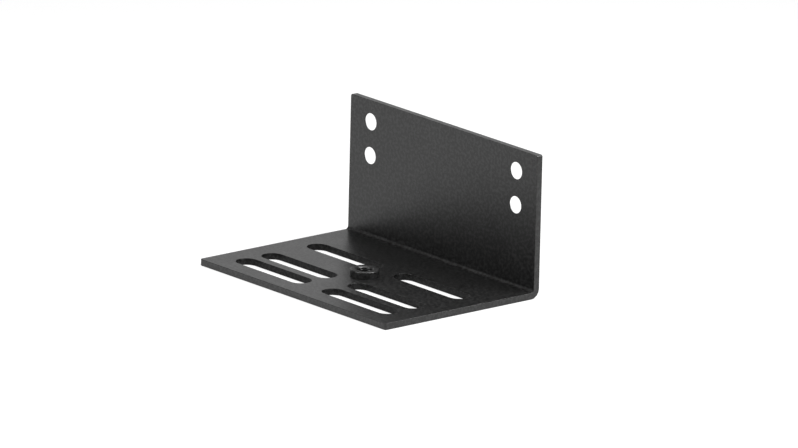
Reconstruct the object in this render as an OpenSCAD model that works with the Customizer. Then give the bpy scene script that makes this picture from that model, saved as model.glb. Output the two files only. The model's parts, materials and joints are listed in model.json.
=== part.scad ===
// Rack mount ear bracket: one sheet of steel, cut, slotted and folded to a right angle,
// with a round threaded nut pressed into the middle of its flat leg.
// Millimetres, +Z up. The origin is under the middle of the bracket, the fold runs along X,
// the flat leg lies on z = 0 and the upright stands at the +Y side.

/* [Folded sheet] */
// Length of the bracket along the fold
bracket_len = 130.2; // [118:0.1:200]
// Depth of the flat leg, from the upright's back face to the free edge
leg_depth = 90; // [76:1:140]
// Height of the upright, from the underside of the flat leg
upright_h = 66.7; // [45:0.1:120]
// Thickness of the sheet
sheet_t = 3.1; // [2:0.1:4]
// Radius on the inside of the fold
fold_r = 1.5; // [0.5:0.1:4]
// Radius of the sheet's four free corners, seen flat
corner_r = 1; // [0.5:0.1:3]

/* [Slots in the flat leg] */
// Length of a slot from end to end
slot_len = 48; // [20:0.5:50]
// Width of a slot
slot_w = 10.2; // [6:0.1:12.5]
// Sheet left between the two slots of a row
slot_bridge = 12.8; // [10:0.1:14]
// Free edge of the leg to the middle of the first row
row_edge = 14.4; // [10:0.1:18]
// First row to second row
row_pitch = 15; // [14:0.1:18]
// Second row to third row
row_step = 26.8; // [24:0.1:30]

/* [Holes in the upright] */
// Diameter of a hole
hole_d = 7.9; // [5:0.1:8]
// Distance between the left and the right pair
hole_span = 101.6; // [60:0.1:104]
// Distance between the two holes of a pair, one above the other
hole_pitch = 15.875; // [15.875:0.005:17]
// Upright's top edge to the upper holes
hole_top = 10.1; // [9:0.1:14]
// Full angle of the countersink in the back face
csk_angle = 100; // [82:1:100]
// Straight wall left at the front of each countersunk hole
hole_land = 0.3; // [0.2:0.1:1]

/* [Pressed-in nut] */
// Diameter of the nut's collar
nut_d = 13.4; // [11:0.1:14]
// Height of the collar above the sheet
nut_h = 3.5; // [2.5:0.1:6]
// Diameter of the shank that is pressed into the sheet
shank_d = 9.8; // [9.2:0.1:10.4]
// Room all round the shank in its hole, none when it is pressed home
shank_fit = 0; // [0:0.01:0.1]
// Shank's end to the underside of the sheet
shank_recess = 0.1; // [0:0.05:0.5]
// Bore of the thread
thread_bore = 6.8; // [5:0.1:7]
// Diameter of the countersunk mouth on top
mouth_d = 8.4; // [7.6:0.1:9]
// Chamfer at the thread's lower end
exit_chamfer = 0.4; // [0.2:0.1:0.6]
// Chamfer round the collar's top edge
collar_chamfer = 0.4; // [0.1:0.1:0.8]
// Upright's back face to the nut's centre
nut_back = 47.6; // [46:0.1:49]

/* [Hidden] */
$fn = 96;
over = 1;                                        // how far a cutter runs past a face
back_y = leg_depth / 2;                          // the upright's back face
fold_outer = fold_r + sheet_t;
slot_x = (slot_bridge + slot_len) / 2;           // middle of a slot, left or right of centre
row_ys = [
    -leg_depth / 2 + row_edge,
    -leg_depth / 2 + row_edge + row_pitch,
    -leg_depth / 2 + row_edge + row_pitch + row_step
];
hole_zs = [upright_h - hole_top, upright_h - hole_top - hole_pitch];
csk_slope = tan(csk_angle / 2);
nut_y = back_y - nut_back;
powder_black = [0.09, 0.09, 0.095];
nut_black = [0.13, 0.13, 0.135];

// Section of the folded sheet: y to the right, z up, the corner rounded inside and out.
module angle_section() {
    difference() {
        union() {
            translate([-back_y, 0]) square([leg_depth - fold_outer, sheet_t]);
            translate([back_y - sheet_t, fold_outer]) square([sheet_t, upright_h - fold_outer]);
            intersection() {
                translate([back_y - fold_outer, fold_outer]) circle(r = fold_outer);
                translate([back_y - fold_outer, 0]) square(fold_outer);
            }
        }
        translate([back_y - fold_outer, fold_outer]) circle(r = fold_r);
    }
}

// The sheet before its holes are cut, as long as the bracket.
module folded_blank() {
    rotate([90, 0, 90])
        translate([0, 0, -bracket_len / 2])
            linear_extrude(height = bracket_len) angle_section();
}

// What is cut off a sharp corner that points to +X and +Y, through a sheet on z = 0.
module corner_cutter() {
    difference() {
        translate([-corner_r, -corner_r, -over])
            cube([corner_r + over, corner_r + over, sheet_t + 2 * over]);
        translate([-corner_r, -corner_r, -2 * over])
            cylinder(r = corner_r, h = sheet_t + 4 * over);
    }
}

// The four free corners: two at the leg's free edge, two on top of the upright.
module corner_cutters() {
    for (side = [0, 1]) mirror([side, 0, 0]) {
        translate([bracket_len / 2, -leg_depth / 2, 0]) mirror([0, 1, 0]) corner_cutter();
        translate([bracket_len / 2, back_y, upright_h]) rotate([90, 0, 0]) corner_cutter();
    }
}

// A slot along X through the flat leg, with round ends.
module slot_cutter() {
    end_x = (slot_len - slot_w) / 2;
    translate([-end_x, -slot_w / 2, -over]) cube([2 * end_x, slot_w, sheet_t + 2 * over]);
    for (x = [-end_x, end_x])
        translate([x, 0, -over]) cylinder(d = slot_w, h = sheet_t + 2 * over);
}

module slot_cutters() {
    for (x = [-slot_x, slot_x], y = row_ys) translate([x, y, 0]) slot_cutter();
}

// A hole through the upright, countersunk from its back face, which is z = 0 here.
module upright_hole_cutter() {
    csk_depth = sheet_t - hole_land;
    translate([0, 0, -over]) cylinder(d = hole_d, h = sheet_t + 2 * over);
    translate([0, 0, -over])
        cylinder(
            r1 = hole_d / 2 + (csk_depth + over) * csk_slope,
            r2 = hole_d / 2,
            h = csk_depth + over
        );
}

module upright_hole_cutters() {
    for (x = [-hole_span / 2, hole_span / 2], z = hole_zs)
        translate([x, back_y, z]) rotate([90, 0, 0]) upright_hole_cutter();
}

// The hole that takes the nut's shank.
module nut_hole_cutter() {
    translate([0, nut_y, -over]) cylinder(d = shank_d + 2 * shank_fit, h = sheet_t + 2 * over);
}

// The folded sheet with everything cut out of it.
module bracket() {
    color(powder_black)
        difference() {
            folded_blank();
            corner_cutters();
            slot_cutters();
            upright_hole_cutters();
            nut_hole_cutter();
        }
}

// Half section of the nut, turned about its axis: shank, collar, countersunk mouth and bore.
module nut_section() {
    top = sheet_t + nut_h;
    mouth_depth = (mouth_d - thread_bore) / 2;
    polygon([
        [thread_bore / 2 + exit_chamfer, shank_recess],
        [shank_d / 2, shank_recess],
        [shank_d / 2, sheet_t],
        [nut_d / 2, sheet_t],
        [nut_d / 2, top - collar_chamfer],
        [nut_d / 2 - collar_chamfer, top],
        [mouth_d / 2, top],
        [thread_bore / 2, top - mouth_depth],
        [thread_bore / 2, shank_recess + exit_chamfer]
    ]);
}

// The threaded nut, pressed in from above, its collar down on the sheet.
module clinch_nut() {
    color(nut_black) translate([0, nut_y, 0]) rotate_extrude() nut_section();
}

bracket();
clinch_nut();
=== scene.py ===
# %% [markdown]
# # Rack mount ear bracket
# A bracket like this is cut from one sheet of steel, folded once in a press brake and powder
# coated. A round threaded nut is pressed into the middle of its flat leg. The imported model
# already holds the true size, so it is loaded first and nothing in it is moved. This file
# gives it the finish of the real thing: rounded arrises, a grainy black coat, and a nut with
# a thread cut in it.

# %% Load the frame
import json
import math

import bpy
from mathutils import Matrix, Vector


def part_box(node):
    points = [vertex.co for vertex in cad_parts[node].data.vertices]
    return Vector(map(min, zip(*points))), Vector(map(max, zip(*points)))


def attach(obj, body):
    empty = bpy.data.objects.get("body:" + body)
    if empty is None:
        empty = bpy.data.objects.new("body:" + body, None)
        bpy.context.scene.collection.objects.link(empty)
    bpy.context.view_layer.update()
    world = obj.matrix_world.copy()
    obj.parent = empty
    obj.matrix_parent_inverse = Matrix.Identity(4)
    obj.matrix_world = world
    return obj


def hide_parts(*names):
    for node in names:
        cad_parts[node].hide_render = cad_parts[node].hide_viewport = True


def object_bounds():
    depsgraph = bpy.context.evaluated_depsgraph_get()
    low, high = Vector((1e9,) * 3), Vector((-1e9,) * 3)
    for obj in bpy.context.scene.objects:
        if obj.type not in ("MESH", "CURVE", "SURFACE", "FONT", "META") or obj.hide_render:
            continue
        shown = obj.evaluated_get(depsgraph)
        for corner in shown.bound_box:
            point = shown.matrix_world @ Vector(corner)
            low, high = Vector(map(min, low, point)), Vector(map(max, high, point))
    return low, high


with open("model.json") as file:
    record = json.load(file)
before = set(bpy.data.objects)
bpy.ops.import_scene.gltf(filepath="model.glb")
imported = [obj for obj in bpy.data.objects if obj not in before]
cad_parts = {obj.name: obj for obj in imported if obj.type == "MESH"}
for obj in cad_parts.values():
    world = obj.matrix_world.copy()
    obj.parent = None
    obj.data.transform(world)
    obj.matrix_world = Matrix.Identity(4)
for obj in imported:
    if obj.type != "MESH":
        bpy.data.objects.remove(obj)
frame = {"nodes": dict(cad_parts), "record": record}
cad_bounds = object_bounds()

MM = 0.001
print("frame nodes:", sorted(frame["nodes"]))
print("size in mm:", [round((high - low) / MM, 2) for low, high in zip(*cad_bounds)])

# %% [markdown]
# ## Shader maths as Python
# A material is a graph of nodes. Writing it as arithmetic keeps it readable, so one small
# class wraps an output socket and turns `+`, `-` and `*` into Math nodes. Everything that
# isn't arithmetic is made by one method, `node`, which takes the node's settings first and
# then what goes into its sockets. The other methods are shorthands for the few nodes that
# come back again and again.

# %% The graph classes
class Wire:
    """An output socket that can be calculated with."""

    def __init__(self, graph, socket):
        self.graph = graph
        self.socket = socket

    def _math(self, operation, *values):
        settings = {"operation": operation}
        return self.graph.node("ShaderNodeMath", settings, dict(enumerate(values)))

    def __add__(self, other):
        return self._math("ADD", self, other)

    def __radd__(self, other):
        return self._math("ADD", other, self)

    def __sub__(self, other):
        return self._math("SUBTRACT", self, other)

    def __rsub__(self, other):
        return self._math("SUBTRACT", other, self)

    def __mul__(self, other):
        return self._math("MULTIPLY", self, other)

    def __rmul__(self, other):
        return self._math("MULTIPLY", other, self)


class Graph:
    """The node tree of a material or of the world, emptied first."""

    def __init__(self, owner):
        owner.use_nodes = True
        self.tree = owner.node_tree
        self.tree.nodes.clear()

    def node(self, kind, settings=None, inputs=None, output=0):
        made = self.tree.nodes.new(kind)
        for key, value in (settings or {}).items():
            setattr(made, key, value)
        for key, value in (inputs or {}).items():
            if isinstance(value, Wire):
                self.tree.links.new(value.socket, made.inputs[key])
            else:
                made.inputs[key].default_value = value
        return Wire(self, made.outputs[output])

    def ramp(self, value, low, high):
        """0 up to low, 1 from high on, and a straight line between."""
        return self.node("ShaderNodeMapRange", {"clamp": True}, {
            "Value": value, "From Min": low, "From Max": high, "To Min": 0.0, "To Max": 1.0,
        })

    def mix_colour(self, factor, first, second):
        """First where factor is 0, second where it is 1. Sockets 6, 7 and 2 are the colours."""
        inputs = {"Factor": factor, 6: first, 7: second}
        return self.node("ShaderNodeMix", {"data_type": "RGBA"}, inputs, output=2)

    def noise(self, place, size, detail=2.0):
        """Noise whose blobs are about size metres across."""
        inputs = {"Vector": place, "Scale": 1 / size, "Detail": detail}
        return self.node("ShaderNodeTexNoise", None, inputs)

    def place(self):
        """Object coordinates, in metres."""
        return self.node("ShaderNodeTexCoord", output="Object")

    def part(self, vector, axis):
        """One of the vector's numbers: its "X", "Y" or "Z"."""
        return self.node("ShaderNodeSeparateXYZ", None, {0: vector}, output=axis)

    def arris_mark(self):
        """1 on rounded arrises and 0 elsewhere, as the pieces carry it."""
        return self.node("ShaderNodeAttribute", {"attribute_name": "arris"}, output="Fac")

    def ray(self, kind):
        """1 for rays of that kind and 0 for the others."""
        return self.node("ShaderNodeLightPath", output=kind)

    def emission(self, strength):
        inputs = {"Color": (1, 1, 1, 1), "Strength": strength}
        return self.node("ShaderNodeEmission", None, inputs)

    def end(self, shader, kind="ShaderNodeOutputMaterial"):
        made = self.tree.nodes.new(kind)
        self.tree.links.new(shader.socket, made.inputs["Surface"])


def grey(value):
    return (value, value, value, 1)


print("shader maths ready")

# %% [markdown]
# ## The powder coat
# Powder is blown onto the steel dry and melts in an oven into one tough skin. Up close it is
# never quite flat: it keeps a fine grain, like very small orange peel, which breaks up every
# reflection. It is thinnest on the arrises, where it pulls back as it melts and where hands
# and screws rub it, so these are a little smoother. They are also made lighter in patches,
# partly for that wear and partly as painted highlights for the glints the arrises catch. The
# grain is two noises, one for the grains and one for the peel between them, and both drive
# the bump. The arrises are found by an attribute that the pieces below get with their bevels.

# %% Powder coat material
COAT_IOR = 1.56
GRAIN_SIZE = 0.55 * MM
PEEL_SIZE = 1.5 * MM
CLOUD_SIZE = 14 * MM            # slow changes of tone and gloss across a face
COAT_DARK = 0.0012
COAT_LIGHT = 0.0042
# Edge wear and painted highlight: the lighter colour of patches on the arrises also stands in
# for the glints they catch.
COAT_WEAR_AND_HIGHLIGHT = 0.028             # the light patches on the arrises
COAT_ROUGHNESS = 0.40


def powder_coat():
    material = bpy.data.materials.new("satin_black_powder_coat")
    graph = Graph(material)
    place = graph.place()
    arris = graph.arris_mark()
    grain = graph.noise(place, GRAIN_SIZE)
    peel = graph.noise(place, PEEL_SIZE)
    cloud = graph.noise(place, CLOUD_SIZE, detail=3.0)
    tone = graph.ramp(cloud * 0.5 + grain * 0.5, 0.35, 0.65)
    colour = graph.mix_colour(tone, grey(COAT_DARK), grey(COAT_LIGHT))
    # Painted highlight and edge wear: patches along the arrises are made lighter.
    patches = graph.ramp(peel, 0.45, 0.6)
    colour = graph.mix_colour(arris * patches * 0.8, colour, grey(COAT_WEAR_AND_HIGHLIGHT))
    uneven = (cloud - 0.5) * 0.10 + (grain - 0.5) * 0.16
    roughness = COAT_ROUGHNESS + uneven - arris * 0.04
    height = grain * 0.6 + peel * 0.4
    bump = graph.node("ShaderNodeBump", None, {
        "Strength": 0.42, "Distance": 0.05 * MM, "Height": height,
    })
    graph.end(graph.node("ShaderNodeBsdfPrincipled", None, {
        "Base Color": colour, "Roughness": roughness, "Normal": bump, "IOR": COAT_IOR,
    }))
    return material


coat = powder_coat()
print("material:", coat.name)

# %% [markdown]
# ## The nut's finish
# The nut is turned steel with a thin dark film over it: smoother than the coat, with faint
# rings that the lathe left round its axis. The rings are a noise that depends only on the
# distance from the axis and the height, so they follow the turning on every face, and they
# change how sharply it shines.

# %% Blackened steel material
RING_SIZE = 0.4 * MM
FILM_SIZE = 1.2 * MM
FILM_DARK = 0.004
FILM_LIGHT = 0.012
# Edge wear and painted highlight: the lighter colour of patches on the nut's arrises also stands
# in for the glints they catch.
FILM_WEAR_AND_HIGHLIGHT = 0.03              # the light patches on the arrises
FILM_ROUGHNESS = 0.36


def blackened_steel(axis):
    material = bpy.data.materials.new("blackened_turned_steel")
    graph = Graph(material)
    place = graph.place()
    arris = graph.arris_mark()
    offset = graph.node("ShaderNodeVectorMath", {"operation": "SUBTRACT"}, {
        0: place, 1: (axis.x, axis.y, 0),
    })
    flat = graph.node("ShaderNodeVectorMath", {"operation": "MULTIPLY"}, {
        0: offset, 1: (1, 1, 0),
    })
    from_axis = graph.node(
        "ShaderNodeVectorMath", {"operation": "LENGTH"}, {0: flat}, output="Value",
    )
    run = graph.node("ShaderNodeCombineXYZ", None, {"X": from_axis, "Y": graph.part(place, "Z")})
    rings = graph.noise(run, RING_SIZE)
    film = graph.noise(place, FILM_SIZE, detail=3.0)
    tone = graph.ramp(film, 0.35, 0.7)
    colour = graph.mix_colour(tone, grey(FILM_DARK), grey(FILM_LIGHT))
    # Painted highlight and edge wear: patches along the nut's arrises are made lighter.
    patches = graph.ramp(film, 0.4, 0.6)
    colour = graph.mix_colour(arris * patches * 0.8, colour, grey(FILM_WEAR_AND_HIGHLIGHT))
    roughness = FILM_ROUGHNESS + (film - 0.5) * 0.10 + (rings - 0.5) * 0.14
    bump = graph.node("ShaderNodeBump", None, {
        "Strength": 0.25, "Distance": 0.03 * MM, "Height": film,
    })
    graph.end(graph.node("ShaderNodeBsdfPrincipled", None, {
        "Base Color": colour, "Roughness": roughness, "Normal": bump, "IOR": COAT_IOR,
    }))
    return material


nut_low, nut_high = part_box("clinch_nut")
nut_axis = (nut_low + nut_high) / 2
black_steel = blackened_steel(nut_axis)
print("material:", black_steel.name)

# %% [markdown]
# ## Rounded arrises
# The frame's own bracket has knife-sharp arrises, and a sharp edge never catches the light.
# On the real one they are rounded by the coat. So a copy of the bracket is merged into a
# closed mesh, its flat triangles are dissolved into whole faces, and a Bevel modifier rounds
# every edge that turns by more than the small steps of the round holes and the fold do. A
# Weighted Normal modifier then keeps the large faces flat, so that only the narrow bevels
# bend the light.

# %% Helpers for picking, copying and rounding
def only_select(piece):
    bpy.ops.object.select_all(action="DESELECT")
    piece.select_set(True)
    bpy.context.view_layer.objects.active = piece


def free_copy_of(node_name, name):
    """A copy of a frame node with its own mesh, riding on nothing yet."""
    copy = bpy.data.objects.new(name, frame["nodes"][node_name].data.copy())
    bpy.context.scene.collection.objects.link(copy)
    copy.data.materials.clear()
    return copy


def merge_to_whole_faces(piece):
    only_select(piece)
    bpy.ops.object.mode_set(mode="EDIT")
    bpy.ops.mesh.select_all(action="SELECT")
    bpy.ops.mesh.customdata_custom_splitnormals_clear()
    bpy.ops.mesh.remove_doubles(threshold=0.001 * MM)
    bpy.ops.mesh.dissolve_limited(angle_limit=math.radians(0.2))
    bpy.ops.object.mode_set(mode="OBJECT")


def round_arrises(piece, radius, turn_deg):
    modifier = piece.modifiers.new("arrises", "BEVEL")
    modifier.width = radius
    modifier.segments = 3
    modifier.limit_method = "ANGLE"
    modifier.angle_limit = math.radians(turn_deg)
    only_select(piece)
    bpy.ops.object.modifier_apply(modifier=modifier.name)


def mark_arrises(piece, radius, is_plain=lambda point: False):
    """Writes 1 into the attribute "arris" on the narrow bevel faces, and 0 elsewhere."""
    mesh = piece.data
    marks = [0.0] * len(mesh.vertices)
    for face in mesh.polygons:
        points = [mesh.vertices[index].co for index in face.vertices]
        sides = [(a - b).length for a, b in zip(points, points[1:] + points[:1])]
        if len(points) <= 4 and min(sides) < radius * 0.8:
            for index in face.vertices:
                marks[index] = 0.0 if is_plain(mesh.vertices[index].co) else 1.0
    mesh.attributes.new("arris", "FLOAT", "POINT").data.foreach_set("value", marks)


def smooth_but_flat(piece):
    """Smooth shading in which the large faces stay flat and the narrow ones bend light."""
    only_select(piece)
    bpy.ops.object.shade_smooth_by_angle(angle=math.radians(30))
    modifier = piece.modifiers.new("flat faces", "WEIGHTED_NORMAL")
    modifier.mode = "FACE_AREA"
    modifier.weight = 100
    modifier.keep_sharp = True
    bpy.ops.object.modifier_apply(modifier=modifier.name)


print("helpers ready")

# %% [markdown]
# ## The coated sheet
# Its arrises are rounded by a little under half a millimetre, which was chosen. The
# turn limit lies between the few degrees of a step in a round hole and the 40 degrees at the
# rim of a countersink, the flattest edge there is.

# %% The coated sheet
ARRIS_R = 0.45 * MM
sheet = free_copy_of("bracket", "coated_sheet")
merge_to_whole_faces(sheet)
round_arrises(sheet, ARRIS_R, turn_deg=25)
mark_arrises(sheet, ARRIS_R)
smooth_but_flat(sheet)
sheet.data.materials.append(coat)
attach(sheet, "root")
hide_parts("bracket")
print("sheet faces:", len(sheet.data.polygons))

# %% [markdown]
# ## The threaded nut
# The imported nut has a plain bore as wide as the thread's crests. To cut a real thread the
# bore's wall is taken out of a copy, its lower rim is pulled up again in many small steps to
# the upper rim, and each new point is pushed outwards by the depth that a helix has at its
# angle and height. The depth runs out to nothing at both rims, so the wall closes without a
# step, as a tap leaves it.

# %% The nut
NUT_ARRIS_R = 0.18 * MM
THREAD_PITCH = 1.25 * MM
THREAD_DEPTH = 0.60 * MM
STEPS_PER_PITCH = 10
RUN_OUT = 0.5 * MM              # height over which the thread fades in and out
TOUCH = 0.01 * MM               # points nearer than this count as one place
mounts = {mount["name"]: mount for mount in frame["record"]["mounts"]}
bore_radius = mounts["centre_thread"]["dims"]["r_mm"] * MM


def from_nut_axis(point):
    return math.hypot(point.x - nut_axis.x, point.y - nut_axis.y)


def select_by(piece, kind, wanted):
    """Selects the "vertices" or "polygons" for which wanted(item) is true, and nothing else."""
    only_select(piece)
    bpy.ops.object.mode_set(mode="EDIT")
    bpy.ops.mesh.select_mode(type={"vertices": "VERT", "polygons": "FACE"}[kind])
    bpy.ops.mesh.select_all(action="DESELECT")
    bpy.ops.object.mode_set(mode="OBJECT")
    for item in getattr(piece.data, kind):
        item.select = wanted(item)
    bpy.ops.object.mode_set(mode="EDIT")


def cut_thread(piece):
    mesh = piece.data

    def on_bore(vertex):
        return abs(from_nut_axis(vertex.co) - bore_radius) < TOUCH

    heights = [v.co.z for v in mesh.vertices if on_bore(v)]
    low, high = min(heights), max(heights)
    select_by(piece, "polygons", lambda f: all(on_bore(mesh.vertices[i]) for i in f.vertices))
    bpy.ops.mesh.delete(type="ONLY_FACE")
    bpy.ops.object.mode_set(mode="OBJECT")
    steps = round((high - low) / THREAD_PITCH * STEPS_PER_PITCH)
    rise = (high - low) / steps
    select_by(piece, "vertices", lambda v: on_bore(v) and abs(v.co.z - low) < TOUCH)
    for _ in range(steps):
        bpy.ops.mesh.extrude_region_move(TRANSFORM_OT_translate={"value": (0, 0, rise)})
    bpy.ops.mesh.select_all(action="SELECT")
    bpy.ops.mesh.remove_doubles(threshold=TOUCH)
    bpy.ops.object.mode_set(mode="OBJECT")
    for vertex in mesh.vertices:
        if on_bore(vertex) and low < vertex.co.z < high:
            place = vertex.co
            turn = math.atan2(place.y - nut_axis.y, place.x - nut_axis.x) / math.tau
            phase = ((place.z - low) / THREAD_PITCH - turn) % 1
            fade = min(1, (place.z - low) / RUN_OUT, (high - place.z) / RUN_OUT)
            depth = THREAD_DEPTH * (1 - abs(2 * phase - 1)) * fade
            scale = (bore_radius + depth) / bore_radius
            place.x = nut_axis.x + (place.x - nut_axis.x) * scale
            place.y = nut_axis.y + (place.y - nut_axis.y) * scale
    only_select(piece)
    bpy.ops.object.mode_set(mode="EDIT")
    bpy.ops.mesh.select_all(action="SELECT")
    bpy.ops.mesh.normals_make_consistent(inside=False)
    bpy.ops.object.mode_set(mode="OBJECT")
    print("thread turns:", round((high - low) / THREAD_PITCH, 2), "steps:", steps)


nut = free_copy_of("clinch_nut", "threaded_nut")
merge_to_whole_faces(nut)
round_arrises(nut, NUT_ARRIS_R, turn_deg=35)
cut_thread(nut)
mark_arrises(nut, NUT_ARRIS_R, lambda point: from_nut_axis(point) < bore_radius + THREAD_DEPTH)
smooth_but_flat(nut)
nut.data.materials.append(black_steel)
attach(nut, "root")
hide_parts("clinch_nut")
print("nut faces:", len(nut.data.polygons))

# %% [markdown]
# ## Studio
# A black piece shows almost only reflections, so what stands round it draws it. The flat leg
# mirrors the bright back of the room, the upright mirrors the pale floor in front and, lower
# down, the dark leg. Only corners and the nut's mouth find the softbox overhead. The floor
# glows a little, to the camera so that it reads as plain white behind the piece, and to
# mirror rays so that it is pale in them too. The mirror glow stops at the bracket's outline,
# because a floor that shows through a slot gets little light, and so the walls of the slots
# stay dark.

# %% Floor
FLOOR_SIZE = 30
FLOOR_GAP = 0.02 * MM           # keeps the floor clear of the underside
FLOOR_GREY = 0.28
FLOOR_EDGE = 2 * MM             # width over which the glow starts at the bracket's outline
GLOW_SEEN = 0.78
GLOW_MIRRORED = 0.68


def floor_material():
    material = bpy.data.materials.new("white_floor")
    graph = Graph(material)
    offset = graph.node("ShaderNodeVectorMath", {"operation": "ABSOLUTE"}, {0: graph.place()})
    reach_x, reach_y = cad_bounds[1][0], cad_bounds[1][1]
    outside_x = graph.ramp(graph.part(offset, "X"), reach_x - FLOOR_EDGE, reach_x)
    outside_y = graph.ramp(graph.part(offset, "Y"), reach_y - FLOOR_EDGE, reach_y)
    open_floor = 1 - (1 - outside_x) * (1 - outside_y)
    mirrored = graph.ray("Is Glossy Ray") * open_floor
    glow = graph.emission(graph.ray("Is Camera Ray") * GLOW_SEEN + mirrored * GLOW_MIRRORED)
    diffuse = graph.node("ShaderNodeBsdfDiffuse", None, {"Color": grey(FLOOR_GREY)})
    graph.end(graph.node("ShaderNodeAddShader", None, {0: diffuse, 1: glow}))
    return material


bpy.ops.mesh.primitive_plane_add(
    size=FLOOR_SIZE, location=(0, 0, cad_bounds[0][2] - FLOOR_GAP),
)
floor = bpy.context.object
floor.name = "floor"
floor.data.materials.append(floor_material())
print("floor ready")

# %% [markdown]
# ## Room and lamps
# The room is a shade of white that depends on the direction alone. The softboxes are square
# area lamps: one hangs overhead, one stands in front and one at the back on the right, and
# both of these light the floor beside the bracket, which its faces mirror.

# %% Room and lamps
FRONT_WALL = 0.16
BACK_WALL = 0.76
WALL_CHANGE = (-0.2, 0.3)       # how far back a direction points while the wall brightens
CEILING_START = (0.50, 0.75)    # how far up it points while the ceiling dims
CEILING_DIM = 0.78              # share of the light that is gone overhead


def light_room():
    world = bpy.data.worlds.new("white_room")
    bpy.context.scene.world = world
    graph = Graph(world)
    direction = graph.node("ShaderNodeNewGeometry", output="Position")
    towards_back = graph.ramp(graph.part(direction, "Y"), *WALL_CHANGE)
    overhead = graph.ramp(graph.part(direction, "Z"), *CEILING_START)
    wall = FRONT_WALL + towards_back * (BACK_WALL - FRONT_WALL)
    strength = wall * (1 - overhead * CEILING_DIM)
    room = graph.node("ShaderNodeBackground", None, {"Color": grey(1), "Strength": strength})
    white = graph.node("ShaderNodeBackground", None, {"Color": grey(1), "Strength": 1.0})
    seen = graph.ray("Is Camera Ray")
    both = graph.node("ShaderNodeMixShader", None, {0: seen, 1: room, 2: white})
    graph.end(both, "ShaderNodeOutputWorld")


def softbox(name, place, aim, size, power):
    lamp = bpy.data.lights.new(name, "AREA")
    lamp.shape = "SQUARE"
    lamp.size = size
    lamp.energy = power
    holder = bpy.data.objects.new(name, lamp)
    bpy.context.scene.collection.objects.link(holder)
    holder.location = place
    holder.rotation_euler = (Vector(aim) - Vector(place)).to_track_quat("-Z", "Y").to_euler()


light_room()
softbox("overhead_softbox", place=(0, 0, 0.8), aim=(0, 0, 0), size=0.5, power=2.4)
softbox("front_softbox", place=(-0.2, -0.75, 0.7), aim=(-0.1, -0.1, 0), size=0.5, power=5.0)
softbox("rear_right_softbox", place=(0.30, 0.25, 0.45), aim=(0.16, 0.14, 0), size=0.3, power=3.2)
print("lamps:", [item.name for item in bpy.data.lights])

# %% [markdown]
# ## Camera
# A long lens from far off keeps parallel edges almost parallel. It looks from the right of
# the bracket's front and from a little above, and is turned by just over a degree.

# %% Camera
VIEW_AZIMUTH = math.radians(49.57)
VIEW_ELEVATION = math.radians(15.65)
VIEW_ROLL = math.radians(1.37)
LENS_MM = 650
DISTANCE = 6.479
AIM = Vector((7.35, 10.69, 26.88)) * MM

forward = Vector((
    -math.sin(VIEW_AZIMUTH) * math.cos(VIEW_ELEVATION),
    math.cos(VIEW_AZIMUTH) * math.cos(VIEW_ELEVATION),
    -math.sin(VIEW_ELEVATION),
))
camera = bpy.data.objects.new("camera", bpy.data.cameras.new("camera"))
bpy.context.scene.collection.objects.link(camera)
camera.data.lens = LENS_MM
camera.data.sensor_width = 36
camera.data.clip_start = 0.1
camera.data.clip_end = 100
level = forward.to_track_quat("-Z", "Y").to_matrix()
camera.rotation_euler = (level @ Matrix.Rotation(VIEW_ROLL, 3, "Z")).to_euler()
camera.location = AIM - forward * DISTANCE
bpy.context.scene.camera = camera
bpy.context.scene.view_settings.view_transform = "Standard"
print("camera at", [round(value, 3) for value in camera.location])
